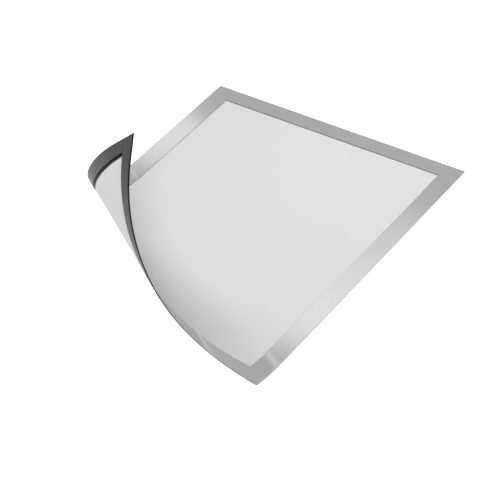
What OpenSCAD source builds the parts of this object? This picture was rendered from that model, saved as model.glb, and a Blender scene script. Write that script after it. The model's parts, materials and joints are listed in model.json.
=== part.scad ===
// Magnetic display frame, lying face up with one corner peeled off its surface.
// A silver border skin and a clear window sheet form one thin flexible face, held to a
// steel surface by four magnetic strips on its back. The sheet lies in XY, front up, with
// its centre at the origin and the backs of the magnetic strips on Z = 0.
// The corner at -X -Y is rolled back along fold lines that fan out from a distant apex.
// Each layer that crosses the roll is divided at the folds, so that the roll can move.

/* [Sheet] */
// Length of the short sides of the frame
sheet_w = 236; // [150:1:340]
// Length of the long sides of the frame
sheet_h = 323; // [200:1:460]
// Width of the silver border around the window
border_w = 16; // [14.5:0.5:24]
// Thickness of the silver border skin
border_t = 0.25; // [0.15:0.05:0.6]
// Thickness of the clear window sheet
window_t = 0.2; // [0.1:0.05:0.5]

/* [Magnetic strips] */
// Width of each magnetic strip
strip_w = 11.7; // [8:0.1:13]
// Thickness of each magnetic strip
strip_t = 0.4; // [0.3:0.05:1.2]
// Distance of the strips from the outer edge of the sheet
strip_inset = 1; // [0.3:0.1:1.5]
// Gap at each butt joint, where a side strip meets a top or bottom strip
butt_gap = 0.2; // [0.1:0.05:1]

/* [Peeled corner] */
// Angle that the peeled corner has turned through at its tip
peel_turn = 124; // [40:1:150]
// Gap between the two edges of each fold when the frame lies flat
fold_gap = 0.1; // [0.05:0.05:0.3]

/* [Hidden] */
// Each fold crosses the line from the centre to the peeled corner at one of these shares
fold_shares = [0.262, 0.345, 0.415, 0.475, 0.53, 0.584, 0.642, 0.708, 0.784, 0.866];
// The apex where all fold lines meet, as shares of the sheet's width and height
apex_shares = [-2.44, 0.98];

folds = len(fold_shares);
fold_turn = peel_turn / folds;
peeled_corner = [-sheet_w / 2, -sheet_h / 2];
apex = [apex_shares.x * sheet_w, apex_shares.y * sheet_h];
window_w = sheet_w - 2 * border_w;
window_h = sheet_h - 2 * border_w;

// Layers, from the magnets at the back to the border skin at the front
window_z = strip_t;
border_z = window_z + window_t;
front_z = border_z + border_t;

// Centre lines of the strips, and their lengths: the top and bottom ones run right across
strip_x = sheet_w / 2 - strip_inset - strip_w / 2;
strip_y = sheet_h / 2 - strip_inset - strip_w / 2;
cross_strip_l = sheet_w - 2 * strip_inset;
side_strip_l = sheet_h - 2 * (strip_inset + strip_w + butt_gap);

// Far enough to cover the whole sheet from any fold
reach = sheet_w + sheet_h;

border_color = [0.71, 0.72, 0.72];
window_color = [0.87, 0.88, 0.88, 0.75];
magnet_color = [0.34, 0.36, 0.36];

BENDS = [for (k = [1 : folds]) k];

// Where fold k crosses the line to the peeled corner, and the direction from there to the apex
function fold_point(k) = fold_shares[k - 1] * peeled_corner;
function fold_heading(k) =
    let (way = apex - fold_point(k)) atan2(way.y, way.x);

// The side of fold k towards the centre of the sheet, and the side towards the peeled corner
module before_fold(k) {
    translate(fold_point(k))
        rotate(fold_heading(k))
            translate([-reach, -reach - fold_gap / 2])
                square([2 * reach, reach]);
}

module beyond_fold(k) {
    translate(fold_point(k))
        rotate(fold_heading(k))
            translate([-reach, fold_gap / 2])
                square([2 * reach, reach]);
}

// The band of the sheet between fold k and the next: band 0 is the part that stays flat
module band(k) {
    intersection() {
        square([reach, reach], center = true);
        if (k > 0) beyond_fold(k);
        if (k < folds) before_fold(k + 1);
    }
}

// Turns what is beyond fold k about the fold line, which lies in the front surface
module turn_fold(k) {
    pivot = concat(fold_point(k), front_z);
    translate(pivot)
        rotate(fold_heading(k))
            rotate([fold_turn, 0, 0])
                rotate(-fold_heading(k))
                    translate(-pivot)
                        children();
}

// Carries a piece of band k through every fold before it
module on_band(k) {
    if (k == 0) {
        children();
    } else {
        on_band(k - 1)
            turn_fold(k)
                children();
    }
}

// One layer's share of band k, from its flat outline
module layer_piece(k, z, t) {
    on_band(k)
        translate([0, 0, z])
            linear_extrude(t)
                intersection() {
                    children();
                    band(k);
                }
}

// Flat outlines of the layers
module border_outline() {
    difference() {
        square([sheet_w, sheet_h], center = true);
        square([window_w, window_h], center = true);
    }
}

module cross_strip_outline(side) {
    translate([0, side * strip_y])
        square([cross_strip_l, strip_w], center = true);
}

module side_strip_outline(side) {
    translate([side * strip_x, 0])
        square([strip_w, side_strip_l], center = true);
}

// The pieces: each takes the number of the band that it lies in
module border_skin(k = 0) {
    color(border_color)
        layer_piece(k, border_z, border_t)
            border_outline();
}

module window_sheet(k = 0) {
    color(window_color)
        layer_piece(k, window_z, window_t)
            square([sheet_w, sheet_h], center = true);
}

module top_magnet() {
    color(magnet_color)
        layer_piece(0, 0, strip_t)
            cross_strip_outline(1);
}

module bottom_magnet(k) {
    color(magnet_color)
        layer_piece(k, 0, strip_t)
            cross_strip_outline(-1);
}

module right_magnet(k = 0) {
    color(magnet_color)
        layer_piece(k, 0, strip_t)
            side_strip_outline(1);
}

module left_magnet(k = 0) {
    color(magnet_color)
        layer_piece(k, 0, strip_t)
            side_strip_outline(-1);
}

border_skin();
window_sheet();
top_magnet();
right_magnet();
left_magnet();
right_magnet(1);  // right_magnet_bend_1
for (k = BENDS) {
    border_skin(k);
    window_sheet(k);
    left_magnet(k);
    bottom_magnet(k);
}
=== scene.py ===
"""Magnetic display frame, lying face up on a pale floor with one corner peeled back.

Each layer of the sheet is modelled flat, cut along the lines that fan out from the apex of
the roll, and then rolled. A piece between two folds is left where it is rolled, on no body.
"""

import json
import math

import bpy
from mathutils import Matrix, Vector
from mathutils.geometry import intersect_line_line

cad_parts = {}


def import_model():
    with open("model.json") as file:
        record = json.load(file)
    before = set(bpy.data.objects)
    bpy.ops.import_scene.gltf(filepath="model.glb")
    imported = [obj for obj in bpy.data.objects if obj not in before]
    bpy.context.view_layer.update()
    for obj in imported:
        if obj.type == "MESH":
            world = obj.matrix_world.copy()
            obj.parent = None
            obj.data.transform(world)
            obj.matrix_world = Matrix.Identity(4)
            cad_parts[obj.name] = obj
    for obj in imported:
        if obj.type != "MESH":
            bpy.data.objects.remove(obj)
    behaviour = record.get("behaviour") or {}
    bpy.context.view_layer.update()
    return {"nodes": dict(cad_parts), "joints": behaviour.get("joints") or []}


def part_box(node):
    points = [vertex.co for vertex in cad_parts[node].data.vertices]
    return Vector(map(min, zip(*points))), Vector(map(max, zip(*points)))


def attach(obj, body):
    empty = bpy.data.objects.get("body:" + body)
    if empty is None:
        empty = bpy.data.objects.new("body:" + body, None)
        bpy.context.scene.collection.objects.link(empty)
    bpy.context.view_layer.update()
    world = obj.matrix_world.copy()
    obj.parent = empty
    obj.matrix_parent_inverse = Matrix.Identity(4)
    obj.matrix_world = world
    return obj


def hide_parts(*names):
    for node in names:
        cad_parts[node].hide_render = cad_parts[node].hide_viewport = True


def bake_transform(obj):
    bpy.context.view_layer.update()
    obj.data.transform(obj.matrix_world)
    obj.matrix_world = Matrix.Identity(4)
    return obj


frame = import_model()
bpy.ops.object.select_all(action="DESELECT")

# Sizes of the sheet and its layers, from the frame
sheet_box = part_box("border_skin")
half_w = sheet_box[1].x
half_h = sheet_box[1].y
front_z = sheet_box[1].z
border_z = sheet_box[0].z
window_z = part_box("window_sheet")[0].z
cross_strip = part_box("top_magnet")
side_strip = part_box("right_magnet")
strip_w = cross_strip[1].y - cross_strip[0].y
strip_in = half_w - side_strip[0].x

# Widths of the border, of the painted shadow beside the side strips, and of the painted shade along
# the window's top and bottom edges
BORDER_W = 0.016
STRIP_SHADOW_W = 0.0017
SHADE_W = 0.0005

# Soft edges of the die-cut layers, and how many flat faces round each one
SKIN_EDGE = 0.00007
STRIP_EDGE = 0.00015
EDGE_FACES = 2

# Slices of each fold's bend, and the sharpest crease that is still shaded smooth
SLICES = 12
SMOOTH_ANGLE = math.radians(20)

# Upward parts of a normal: a cut wall has less than the first, a flat face more than the second
WALL = 0.3
LEVEL = 0.97

UP = Vector((0, 0, 1))

# The camera: where it looks from, what it looks at and its lens
CAMERA_AZIMUTH = math.radians(32.065)
CAMERA_ELEVATION = math.radians(37.165)
CAMERA_DISTANCE = 2.1010
CAMERA_TARGET = Vector((0.01171, -0.01441, front_z))
CAMERA_LENS = 200.1
CAMERA_SENSOR = 36
CAMERA_NEAR = 0.1


# The roll

def flat_folds():
    """Each fold's point and direction as they lie when the sheet is flat, and its turn."""
    carried = Matrix.Identity(4)
    found = []
    for joint in frame["joints"]:
        flatten = carried.inverted()
        point = flatten @ Vector(joint["pos_m"])
        along = flatten.to_3x3() @ Vector(joint["axis"])
        turn = math.radians(-joint["range_deg"][0])
        found.append((point, along, turn))
        there = Matrix.Translation(point)
        carried = carried @ there @ Matrix.Rotation(turn, 4, along) @ there.inverted()
    return found


folds = flat_folds()
first_point, first_along, fold_turn = folds[0]
last_point, last_along, _ = folds[-1]
apex = intersect_line_line(
    first_point, first_point + first_along, last_point, last_point + last_along
)[0]
fan_start = (first_point - apex).normalized()
fan_side = fan_start.cross(UP)


def fan_angle(point):
    """How far round the apex a flat point lies, from the first fold towards the corner."""
    way = point - apex
    return math.atan2(way.dot(fan_side), way.dot(fan_start))


def fan_line(angle):
    """The direction of a line of the fan, on the flat sheet."""
    return Matrix.Rotation(-angle, 3, "Z") @ fan_start


def edges_of_bends(angles):
    """Where each fold's bend starts and ends: midway between the folds, and as far outside."""
    edges = [(a + b) / 2 for a, b in zip(angles, angles[1:])]
    before = 2 * angles[0] - edges[0]
    after = 2 * angles[-1] - edges[-1]
    return [before, *edges, after]


bend_edges = edges_of_bends([fan_angle(point) for point, _, _ in folds])
BODIES = ["flat_sheet"] + [f"bend_{k}" for k in range(1, len(folds) + 1)]


def bend_spin(axes, width):
    """What the sheet's axes turn about within a bend, and how fast, per fan angle."""
    about = -axes.col[2] - axes.col[0] * (fold_turn / width)
    return about.normalized(), about.length


def spun(axes, about, angle):
    """The axes of the sheet, turned about one direction."""
    return Matrix.Rotation(angle, 3, about) @ axes


def axes_at_starts():
    """The sheet's own axes where each bend starts: away from the apex, across, and up."""
    out = fan_line(bend_edges[0])
    axes = Matrix((out, UP.cross(out), UP)).transposed()
    starts = [axes]
    for low, high in zip(bend_edges, bend_edges[1:]):
        about, rate = bend_spin(axes, high - low)
        axes = spun(axes, about, rate * (high - low))
        starts.append(axes)
    return starts


start_axes = axes_at_starts()


def rolled(point):
    """Where a point of the flat sheet lies once the corner is rolled."""
    angle = fan_angle(point)
    if angle <= bend_edges[0]:
        return point
    radius = (point - apex).xy.length
    k = 0
    while k < len(folds) and angle > bend_edges[k + 1]:
        k += 1
    axes = start_axes[k]
    if k < len(folds):
        about, rate = bend_spin(axes, bend_edges[k + 1] - bend_edges[k])
    else:
        about, rate = -axes.col[2], 1.0
    axes = spun(axes, about, rate * (angle - bend_edges[k]))
    return apex + axes.col[0] * radius + axes.col[2] * (point.z - front_z)


# Modelling

def edit(obj, mode="FACE"):
    """Starts to edit one object, with nothing on it selected."""
    bpy.ops.object.select_all(action="DESELECT")
    bpy.context.view_layer.objects.active = obj
    obj.select_set(True)
    bpy.ops.object.mode_set(mode="EDIT")
    bpy.ops.mesh.select_mode(type=mode)
    bpy.ops.mesh.select_all(action="DESELECT")


def done():
    """Leaves the object that is being edited."""
    bpy.ops.object.mode_set(mode="OBJECT")
    bpy.ops.object.select_all(action="DESELECT")


def is_wall(face):
    return abs(face.normal.z) < WALL


def slab(name, low, high):
    """A flat slab between two corners."""
    low, high = Vector(low), Vector(high)
    bpy.ops.mesh.primitive_cube_add(size=1, location=(low + high) / 2, scale=high - low)
    obj = bpy.context.object
    obj.name = name
    bpy.ops.object.transform_apply(location=True, rotation=True, scale=True)
    bpy.ops.object.select_all(action="DESELECT")
    return obj


def cut_window(obj, border):
    """Opens the middle of a slab, leaving a border all round."""
    edit(obj)
    bpy.ops.object.mode_set(mode="OBJECT")
    for face in obj.data.polygons:
        face.select = not is_wall(face)
    bpy.ops.object.mode_set(mode="EDIT")
    bpy.ops.mesh.inset(thickness=border, use_individual=True)
    bpy.ops.mesh.bridge_edge_loops()
    done()


def soften(obj, width):
    """Takes the sharpness off the long edges, top and bottom."""
    edit(obj, "EDGE")
    bpy.ops.object.mode_set(mode="OBJECT")
    mesh = obj.data
    for edge in mesh.edges:
        a, b = (mesh.vertices[i].co for i in edge.vertices)
        walls = [face for face in mesh.polygons if edge.key in face.edge_keys and is_wall(face)]
        edge.select = abs(a.z - b.z) < width and len(walls) == 1
    bpy.ops.object.mode_set(mode="EDIT")
    bpy.ops.mesh.bevel(offset=width, segments=EDGE_FACES, affect="EDGES")
    done()


def cut(obj, angle, keep=None):
    """Cuts a flat piece along a line of the fan. keep is "near" or "far", or None for both."""
    edit(obj)
    bpy.ops.mesh.select_all(action="SELECT")
    bpy.ops.mesh.bisect(
        plane_co=apex,
        plane_no=fan_line(angle).cross(UP),
        use_fill=keep is not None,
        clear_inner=keep == "far",
        clear_outer=keep == "near",
    )
    done()


def unroll_map(obj):
    """Keeps the flat place of every corner, in metres, for the patterns of the materials."""
    places = obj.data.uv_layers.new(name="Flat")
    for loop in obj.data.loops:
        places.data[loop.index].uv = obj.data.vertices[loop.vertex_index].co.xy


def roll(obj):
    """Rolls a flat piece, vertex by vertex, as the peeled corner is."""
    for vertex in obj.data.vertices:
        vertex.co = rolled(vertex.co)
    obj.data.update()


def smooth(obj):
    """Shades the bends smooth and leaves the edges sharp."""
    obj.select_set(True)
    bpy.context.view_layer.objects.active = obj
    bpy.ops.object.shade_smooth_by_angle(angle=SMOOTH_ANGLE)
    obj.select_set(False)


def layer(flat, node, paint, first=0, last=None):
    """Cuts a flat layer into pieces at the bends and rolls them; the flat piece and the tip go to
    their bodies.
    """
    last = len(folds) + 1 if last is None else last
    for k in range(first, last + 1):
        piece = flat.copy()
        piece.data = flat.data.copy()
        bpy.context.scene.collection.objects.link(piece)
        if k > first:
            cut(piece, bend_edges[k - 1], keep="far")
        if k < last:
            cut(piece, bend_edges[k], keep="near")
        bent = 0 < k <= len(folds)
        if bent:
            low, high = bend_edges[k - 1], bend_edges[k]
            for s in range(1, SLICES):
                cut(piece, low + (high - low) * s / SLICES)
        unroll_map(piece)
        paint(piece)
        roll(piece)
        smooth(piece)
        if k == 0:
            piece.name = f"{node}_flat"
            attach(piece, BODIES[0])
            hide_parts(node)
        elif bent:
            piece.name = f"{node}_roll_{k}"
            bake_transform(piece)
            if f"{node}_bend_{k}" in frame["nodes"]:
                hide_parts(f"{node}_bend_{k}")
        else:
            piece.name = f"{node}_tip"
            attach(piece, BODIES[-1])
    bpy.data.objects.remove(flat)


# Materials

# Dark and light tones of each finish
SILVER = ((0.35, 0.368, 0.364), (0.373, 0.388, 0.386))
# Painted shade: the near-black tone of cut edges turned from the light, on the window, the peeling
# sides and the strips
EDGE_SHADE = ((0.008, 0.009, 0.009), (0.014, 0.015, 0.015))
TRIMMED = ((0.19, 0.2, 0.2), (0.24, 0.25, 0.25))
RUBBER = ((0.011, 0.014, 0.015), (0.017, 0.021, 0.022))
CLEAR_FRONT = ((0.735, 0.75, 0.745), (0.755, 0.765, 0.76))
CLEAR_BACK = ((0.7, 0.72, 0.71), (0.72, 0.735, 0.73))

# Plain tones painted over the film as shade: the painted shade at the window's edge, painted shade
# on the shelf by the side strips, and the painted shadow along the strips
SHADE = (0.02, 0.022, 0.022)
SHELF_SHADE = (0.036, 0.04, 0.04)
STRIP_SHADOW = (0.002, 0.0023, 0.0023)

# Roughness, shine, and how solid the film is outside the window and within it
SILVER_ROUGHNESS = (0.127, 0.134)
SILVER_METAL = 0.85
CUT_ROUGHNESS = 0.6
CUT_SHINE = 0.1
RUBBER_ROUGHNESS = (0.36, 0.46)
RUBBER_SHINE = 0.25
FILM_ROUGHNESS = (0.42, 0.5)
FILM_SHINE = (0.02, 0.5)
FILM_SOLID = (1.0, 0.92)

# Where most noise values lie, how fine the noise is, and the height of a full-depth grain
NOISE_RANGE = (0.3, 0.7)
NOISE_DETAIL = 3.0
GRAIN_HEIGHT = 0.00002


def nodes_of(material):
    """The node tree of a new material and its shader."""
    material.use_nodes = True
    tree = material.node_tree
    return tree, tree.nodes["Principled BSDF"]


def flat_places(tree):
    """The flat place on the sheet, in metres, along the roll and everywhere else."""
    node = tree.nodes.new("ShaderNodeUVMap")
    node.uv_map = "Flat"
    return node.outputs["UV"]


def fine_grain():
    """A shared effect: fine grain over broad, faint clouds, as values and a normal."""
    group = bpy.data.node_groups.new("fine_grain", "ShaderNodeTree")
    group.interface.new_socket("Place", in_out="INPUT", socket_type="NodeSocketVector")
    for name in ("Grain per metre", "Clouds per metre", "Depth"):
        group.interface.new_socket(name, in_out="INPUT", socket_type="NodeSocketFloat")
    group.interface.new_socket("Grain", in_out="OUTPUT", socket_type="NodeSocketFloat")
    group.interface.new_socket("Clouds", in_out="OUTPUT", socket_type="NodeSocketFloat")
    group.interface.new_socket("Normal", in_out="OUTPUT", socket_type="NodeSocketVector")
    source = group.nodes.new("NodeGroupInput")
    sink = group.nodes.new("NodeGroupOutput")
    for name, out in (("Grain per metre", "Grain"), ("Clouds per metre", "Clouds")):
        noise = group.nodes.new("ShaderNodeTexNoise")
        noise.inputs["Detail"].default_value = NOISE_DETAIL
        group.links.new(source.outputs["Place"], noise.inputs["Vector"])
        group.links.new(source.outputs[name], noise.inputs["Scale"])
        group.links.new(noise.outputs["Fac"], sink.inputs[out])
        if out == "Grain":
            bump = group.nodes.new("ShaderNodeBump")
            bump.inputs["Distance"].default_value = GRAIN_HEIGHT
            group.links.new(source.outputs["Depth"], bump.inputs["Strength"])
            group.links.new(noise.outputs["Fac"], bump.inputs["Height"])
            group.links.new(bump.outputs["Normal"], sink.inputs["Normal"])
    return group


def sheet_mask():
    """A shared effect: 1 where the flat place lies within a half width and height, else 0."""
    group = bpy.data.node_groups.new("sheet_mask", "ShaderNodeTree")
    group.interface.new_socket("Place", in_out="INPUT", socket_type="NodeSocketVector")
    for name in ("Half width", "Half height"):
        group.interface.new_socket(name, in_out="INPUT", socket_type="NodeSocketFloat")
    group.interface.new_socket("Mask", in_out="OUTPUT", socket_type="NodeSocketFloat")
    source = group.nodes.new("NodeGroupInput")
    sink = group.nodes.new("NodeGroupOutput")
    parts = group.nodes.new("ShaderNodeSeparateXYZ")
    both = group.nodes.new("ShaderNodeMath")
    both.operation = "MULTIPLY"
    group.links.new(source.outputs["Place"], parts.inputs["Vector"])
    for axis, reach, slot in (("X", "Half width", 0), ("Y", "Half height", 1)):
        size = group.nodes.new("ShaderNodeMath")
        size.operation = "ABSOLUTE"
        within = group.nodes.new("ShaderNodeMath")
        within.operation = "LESS_THAN"
        group.links.new(parts.outputs[axis], size.inputs[0])
        group.links.new(size.outputs[0], within.inputs[0])
        group.links.new(source.outputs[reach], within.inputs[1])
        group.links.new(within.outputs[0], both.inputs[slot])
    group.links.new(both.outputs[0], sink.inputs["Mask"])
    return group


grain_group, mask_group = fine_grain(), sheet_mask()


def add_grain(tree, place, grain, clouds, depth):
    """Places the grain effect in a material."""
    node = tree.nodes.new("ShaderNodeGroup")
    node.node_tree = grain_group
    tree.links.new(place, node.inputs["Place"])
    node.inputs["Grain per metre"].default_value = grain
    node.inputs["Clouds per metre"].default_value = clouds
    node.inputs["Depth"].default_value = depth
    return node


def inside(tree, place, margin_x, margin_y):
    """A mask of the sheet within its margins, across and along."""
    node = tree.nodes.new("ShaderNodeGroup")
    node.node_tree = mask_group
    tree.links.new(place, node.inputs["Place"])
    node.inputs["Half width"].default_value = half_w - margin_x
    node.inputs["Half height"].default_value = half_h - margin_y
    return node.outputs["Mask"]


def ranged(tree, value, low, high, start=0.0, end=1.0):
    """Maps a value that runs from start to end to one from low to high."""
    node = tree.nodes.new("ShaderNodeMapRange")
    node.inputs["From Min"].default_value = start
    node.inputs["From Max"].default_value = end
    node.inputs["To Min"].default_value = low
    node.inputs["To Max"].default_value = high
    tree.links.new(value, node.inputs["Value"])
    return node.outputs["Result"]


def from_noise(tree, noise, low=0.0, high=1.0):
    """Maps a noise value to one from low to high."""
    return ranged(tree, noise, low, high, *NOISE_RANGE)


def painted_over(tree, mask, below, above):
    """A colour that gives way to another where the mask is 1."""
    mix = tree.nodes.new("ShaderNodeMix")
    mix.data_type = "RGBA"
    tree.links.new(mask, mix.inputs["Factor"])
    for socket, colour in (("A", below), ("B", above)):
        if isinstance(colour, tuple):
            mix.inputs[socket].default_value = (*colour, 1)
        else:
            tree.links.new(colour, mix.inputs[socket])
    return mix.outputs["Result"]


def two_tone(tree, noise, tones):
    """A colour between two tones, by a noise value."""
    return painted_over(tree, from_noise(tree, noise), *tones)


def silver_film():
    """Satin silver in front, nearly smooth."""
    material = bpy.data.materials.new("silver_film")
    tree, shader = nodes_of(material)
    grain = add_grain(tree, flat_places(tree), grain=3500, clouds=18, depth=0.002)
    colour = two_tone(tree, grain.outputs["Clouds"], SILVER)
    roughness = from_noise(tree, grain.outputs["Clouds"], *SILVER_ROUGHNESS)
    tree.links.new(colour, shader.inputs["Base Color"])
    tree.links.new(roughness, shader.inputs["Roughness"])
    tree.links.new(grain.outputs["Normal"], shader.inputs["Normal"])
    shader.inputs["Metallic"].default_value = SILVER_METAL
    return material


def cut_through(name, tones):
    """A dull finish of two close tones, for what is seen only where a layer is cut."""
    material = bpy.data.materials.new(name)
    tree, shader = nodes_of(material)
    grain = add_grain(tree, flat_places(tree), grain=3000, clouds=60, depth=0.2)
    colour = two_tone(tree, grain.outputs["Grain"], tones)
    tree.links.new(colour, shader.inputs["Base Color"])
    shader.inputs["Roughness"].default_value = CUT_ROUGHNESS
    shader.inputs["Specular IOR Level"].default_value = CUT_SHINE
    return material


def magnet_rubber():
    """Dark grey rubber of the strips, matt with a soft sheen."""
    material = bpy.data.materials.new("magnet_rubber")
    tree, shader = nodes_of(material)
    grain = add_grain(tree, flat_places(tree), grain=2200, clouds=45, depth=0.35)
    colour = two_tone(tree, grain.outputs["Clouds"], RUBBER)
    roughness = from_noise(tree, grain.outputs["Grain"], *RUBBER_ROUGHNESS)
    tree.links.new(colour, shader.inputs["Base Color"])
    tree.links.new(roughness, shader.inputs["Roughness"])
    tree.links.new(grain.outputs["Normal"], shader.inputs["Normal"])
    shader.inputs["Specular IOR Level"].default_value = RUBBER_SHINE
    return material


def film_grain(tree, place):
    """The faint texture that both sides of the film share."""
    return add_grain(tree, place, grain=1800, clouds=12, depth=0.12)


def film_finish(tree, shader, grain, window):
    """The roughness of the film, and how much shows through it in the window."""
    roughness = from_noise(tree, grain.outputs["Grain"], *FILM_ROUGHNESS)
    tree.links.new(roughness, shader.inputs["Roughness"])
    tree.links.new(grain.outputs["Normal"], shader.inputs["Normal"])
    tree.links.new(ranged(tree, window, *FILM_SOLID), shader.inputs["Alpha"])


def window_front():
    """The front of the film, with painted shade where the border's cut edge stands over it."""
    material = bpy.data.materials.new("window_front")
    tree, shader = nodes_of(material)
    place = flat_places(tree)
    grain = film_grain(tree, place)
    clear = two_tone(tree, grain.outputs["Clouds"], CLEAR_FRONT)
    # Painted shade: a thin dark line along the top and bottom of the window, next to the border
    window = inside(tree, place, BORDER_W, BORDER_W + SHADE_W)
    tree.links.new(painted_over(tree, window, SHADE, clear), shader.inputs["Base Color"])
    film_finish(tree, shader, grain, window)
    return material


def window_back():
    """The back of the film: a near-black line of painted shadow and a shelf darkened by painted
    shade run beside the side strips.
    """
    material = bpy.data.materials.new("window_back")
    tree, shader = nodes_of(material)
    place = flat_places(tree)
    grain = film_grain(tree, place)
    clear = two_tone(tree, grain.outputs["Clouds"], CLEAR_BACK)
    window = inside(tree, place, BORDER_W, strip_in)
    # Painted shadow: near black beside and beyond the strips, then painted shade on the shelf up to
    # the window
    past_strip_shadow = inside(tree, place, strip_in + STRIP_SHADOW_W, strip_in)
    margin = painted_over(tree, past_strip_shadow, STRIP_SHADOW, SHELF_SHADE)
    tree.links.new(painted_over(tree, window, margin, clear), shader.inputs["Base Color"])
    tree.links.new(ranged(tree, window, *FILM_SHINE), shader.inputs["Specular IOR Level"])
    film_finish(tree, shader, grain, window)
    return material


silver, rubber = silver_film(), magnet_rubber()
# The first is painted shade for cut edges, near black; the second is the cut edges' grey
edge_shade, trimmed = cut_through("painted_edge_shade", EDGE_SHADE), cut_through("cut_edge", TRIMMED)
film_front, film_back = window_front(), window_back()


def is_shaded_edge(face):
    """True for the cut edges drawn in painted shade: those cut for the window and those on the two
    sides that peel.
    """
    x, y, _ = face.center
    peeled_side = min(x + half_w, y + half_h) < SKIN_EDGE
    return peeled_side or max(abs(x) - half_w, abs(y) - half_h) < -BORDER_W / 2


def paint_border(obj):
    """Silver in front; where the skin is cut, grey, or near black as painted shade."""
    for material in (silver, edge_shade, trimmed):
        obj.data.materials.append(material)
    for face in obj.data.polygons:
        # Painted shade: the window's cut edges and the peeling sides' edges, with their rounding,
        # are drawn near black
        if is_shaded_edge(face) and abs(face.normal.z) < LEVEL:
            face.material_index = 1
        elif is_wall(face):
            face.material_index = 2


def paint_window(obj):
    """Front, back and cut edges of the film; some cut edges are near black as painted shade."""
    for material in (film_front, film_back, edge_shade, trimmed):
        obj.data.materials.append(material)
    for face in obj.data.polygons:
        if is_wall(face):
            # Painted shade: the window's cut edges and the peeling sides' edges are near black, the
            # rest grey
            face.material_index = 2 if is_shaded_edge(face) else 3
        elif face.normal.z < 0:
            face.material_index = 1


def paint_strip(obj):
    """Rubber, with painted shade making the strips' cut walls darker."""
    for material in (rubber, edge_shade):
        obj.data.materials.append(material)
    for face in obj.data.polygons:
        # Painted shade: all cut walls of the strips are drawn darker than the rubber
        if is_wall(face):
            face.material_index = 1


# The pieces

def border_skin():
    flat = slab("border_flat", (-half_w, -half_h, border_z), (half_w, half_h, front_z))
    cut_window(flat, BORDER_W)
    soften(flat, SKIN_EDGE)
    layer(flat, "border_skin", paint_border)


def window_sheet():
    flat = slab("window_flat", (-half_w, -half_h, window_z), (half_w, half_h, border_z))
    layer(flat, "window_sheet", paint_window)


def magnet(name, low, high, first=0, last=None):
    """One strip between two corners, from its first body to its last."""
    flat = slab(f"{name}_slab", (*low, 0), (*high, window_z))
    soften(flat, STRIP_EDGE)
    layer(flat, name, paint_strip, first, last)


def magnets():
    """The top and bottom strips run right across, and the side strips fit between them."""
    end_x, end_y = cross_strip[1].x, cross_strip[1].y
    side_in, side_top = side_strip[0].x, side_strip[1].y
    magnet("top_magnet", (-end_x, end_y - strip_w), (end_x, end_y), 0, 0)
    magnet("bottom_magnet", (-end_x, -end_y), (end_x, strip_w - end_y), 1)
    magnet("right_magnet", (side_in, -side_top), (end_x, side_top), 0, 1)
    magnet("left_magnet", (-end_x, -side_top), (-side_in, side_top))


border_skin()
window_sheet()
magnets()


# Floor, light and camera

# The floor lies just below the strips. It glows a little, where it is seen, to stay white
FLOOR_SIZE = 30
FLOOR_GAP = 0.00005
FLOOR_TONE = 0.9
FLOOR_GLOW = 0.6

# How bright the white surroundings are as light, and as what the silver and the camera see
WORLD_LIGHT = 0.15
WORLD_SEEN = 1.0


def when_seen(tree, unseen, seen):
    """One shader for rays from the camera and from gloss, and another for all others."""
    path = tree.nodes.new("ShaderNodeLightPath")
    either = tree.nodes.new("ShaderNodeMath")
    either.operation = "MAXIMUM"
    mix = tree.nodes.new("ShaderNodeMixShader")
    tree.links.new(path.outputs["Is Camera Ray"], either.inputs[0])
    tree.links.new(path.outputs["Is Glossy Ray"], either.inputs[1])
    tree.links.new(either.outputs[0], mix.inputs["Fac"])
    tree.links.new(unseen, mix.inputs[1])
    tree.links.new(seen, mix.inputs[2])
    return mix.outputs["Shader"]


def floor():
    bpy.ops.mesh.primitive_plane_add(size=FLOOR_SIZE, location=(0, 0, -FLOOR_GAP))
    obj = bpy.context.object
    obj.name = "floor"
    obj.select_set(False)
    material = bpy.data.materials.new("pale_floor")
    tree, shader = nodes_of(material)
    shader.inputs["Base Color"].default_value = (FLOOR_TONE, FLOOR_TONE, FLOOR_TONE, 1)
    shader.inputs["Roughness"].default_value = 1.0
    shader.inputs["Specular IOR Level"].default_value = 0.0
    glow = tree.nodes.new("ShaderNodeEmission")
    glow.inputs["Strength"].default_value = FLOOR_GLOW
    add = tree.nodes.new("ShaderNodeAddShader")
    tree.links.new(shader.outputs["BSDF"], add.inputs[0])
    tree.links.new(glow.outputs["Emission"], add.inputs[1])
    surface = when_seen(tree, shader.outputs["BSDF"], add.outputs["Shader"])
    tree.links.new(surface, tree.nodes["Material Output"].inputs["Surface"])
    obj.data.materials.append(material)


def world():
    """White all round, faint as light, so that the lamps shape the sheet."""
    studio = bpy.data.worlds.new("studio")
    bpy.context.scene.world = studio
    studio.use_nodes = True
    tree = studio.node_tree
    faint = tree.nodes["Background"]
    white = tree.nodes.new("ShaderNodeBackground")
    for node, strength in ((faint, WORLD_LIGHT), (white, WORLD_SEEN)):
        node.inputs["Color"].default_value = (1, 1, 1, 1)
        node.inputs["Strength"].default_value = strength
    surface = when_seen(tree, faint.outputs["Background"], white.outputs["Background"])
    tree.links.new(surface, tree.nodes["World Output"].inputs["Surface"])


def softbox(name, shape, place, aim, width, length, along, power, spread=180):
    """A flat lamp at place, facing aim, with its length laid along a direction."""
    lamp = bpy.data.lights.new(name, "AREA")
    lamp.shape = shape
    lamp.size = length
    lamp.size_y = width
    lamp.energy = power
    lamp.spread = math.radians(spread)
    obj = bpy.data.objects.new(name, lamp)
    bpy.context.scene.collection.objects.link(obj)
    back = (place - aim).normalized()
    side = (along - back * along.dot(back)).normalized()
    turn = Matrix((side, back.cross(side), back)).transposed().to_4x4()
    obj.matrix_world = Matrix.Translation(place) @ turn
    return obj


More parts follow.
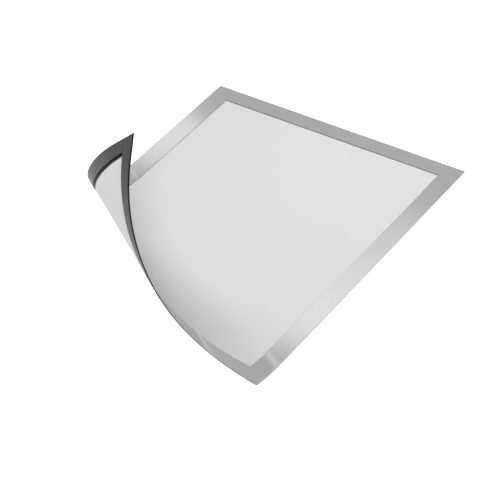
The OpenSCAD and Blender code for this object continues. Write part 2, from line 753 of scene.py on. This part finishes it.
def wide_lamp(name, shape, compass, height, distance, size, power):
    """A lamp that lights the film but isn't mirrored. Its angles are in degrees, from +X."""
    level = math.cos(math.radians(height))
    turn = math.radians(compass)
    way = Vector((level * math.cos(turn), level * math.sin(turn), math.sin(math.radians(height))))
    middle = Vector((0, 0, front_z))
    lamp = softbox(name, shape, way * distance, middle, size, size, UP, power)
    lamp.visible_glossy = False


def band_lamp(name, shown_at, distance, aimed_at, width, length, slope, power, spread):
    """A narrow beam that the camera sees mirrored in the silver, at one point of the sheet."""
    point = Vector((*shown_at, front_z))
    way = (CAMERA_TARGET + camera_back() * CAMERA_DISTANCE - point).normalized()
    place = point + Vector((-way.x, -way.y, way.z)) * distance
    aim = Vector((*aimed_at, front_z))
    softbox(name, "ELLIPSE", place, aim, width, length, Vector((*slope, 0)), power, spread)


def lights():
    """Two wide lamps along the folds, a small one behind, and two bands in the silver."""
    wide_lamp("back_lamp", "RECTANGLE", compass=160, height=32, distance=4.1, size=1.8, power=94.0)
    wide_lamp("front_lamp", "RECTANGLE", compass=306, height=30, distance=4.1, size=1.5, power=142.0)
    wide_lamp("near_lamp", "ELLIPSE", compass=69, height=50, distance=0.6, size=0.5, power=0.84)
    band_lamp(
        "left_band", shown_at=(-0.112, 0.063), distance=0.56, aimed_at=(-0.154, 0.111),
        width=0.059, length=0.117, slope=(0.889, 0.459), power=0.000233, spread=12.6,
    )
    band_lamp(
        "right_band", shown_at=(0.11, -0.022), distance=0.95, aimed_at=(0.041, 0.113),
        width=0.155, length=0.243, slope=(0.752, 0.659), power=0.00301, spread=17.2,
    )


def camera_back():
    """The direction from what the camera looks at back to the camera."""
    level = math.cos(CAMERA_ELEVATION)
    return Vector((
        math.sin(CAMERA_AZIMUTH) * level,
        -math.cos(CAMERA_AZIMUTH) * level,
        math.sin(CAMERA_ELEVATION),
    ))


def camera():
    lens = bpy.data.cameras.new("camera")
    lens.sensor_width = CAMERA_SENSOR
    lens.lens = CAMERA_LENS
    lens.clip_start = CAMERA_NEAR
    obj = bpy.data.objects.new("camera", lens)
    bpy.context.scene.collection.objects.link(obj)
    back = camera_back()
    obj.location = CAMERA_TARGET + back * CAMERA_DISTANCE
    obj.rotation_euler = back.to_track_quat("Z", "Y").to_euler()
    bpy.context.scene.camera = obj


floor()
world()
lights()
camera()
bpy.context.scene.view_settings.view_transform = "Standard"
